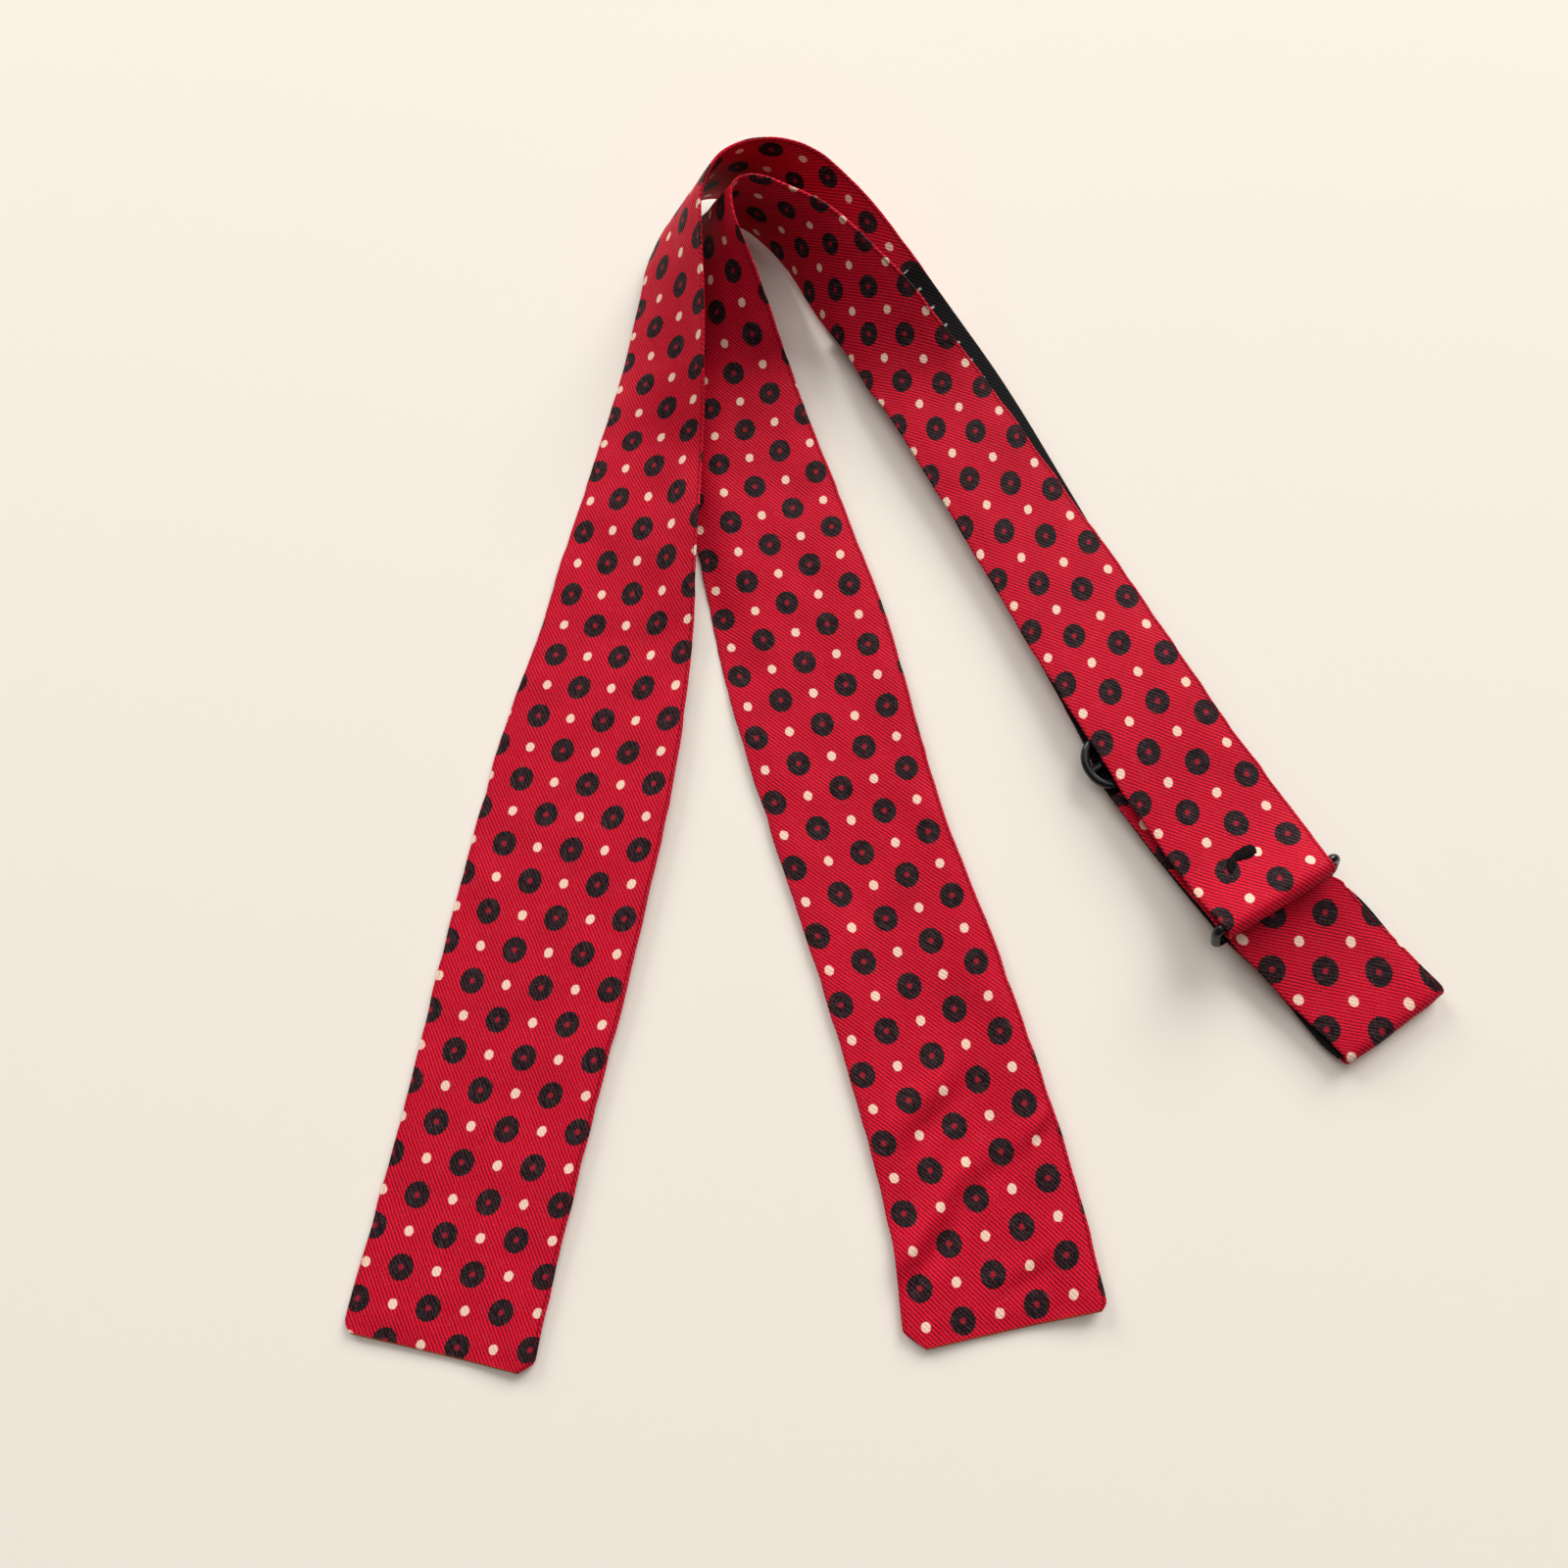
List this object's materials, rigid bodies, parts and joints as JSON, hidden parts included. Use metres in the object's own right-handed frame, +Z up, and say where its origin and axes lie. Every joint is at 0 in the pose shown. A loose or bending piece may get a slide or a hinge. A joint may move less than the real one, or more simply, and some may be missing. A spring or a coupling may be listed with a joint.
{
  "type": "self-tie batwing bow tie",
  "caption": "Untied batwing bow tie lying flat: a folded silk strip in two halves with straight ends, joined by a wire ring and an adjusting slider.",
  "frame": {"origin": "middle of the bounding box on the surface that the tie lies on", "axes": "+Z up from the surface, +Y along the blades towards the two loops, +X from the left blade towards the arm with the ring and slider"},
  "size_m": [0.2221, 0.2663, 0.0266],
  "materials": {
    "printed_silk": "red silk twill printed with black discs and cream dots, soft sheen",
    "woven_tape": "black ribbed woven tape, matt",
    "black_enamel": "glossy black enamel on wire",
    "black_thread": "black sewing thread, matt"
  },
  "bodies": {
    "root": {"long_half": "printed_silk", "short_half": "printed_silk", "neck_tape": "woven_tape", "ring": "black_enamel", "slider": "black_enamel"}
  },
  "joints": []
}
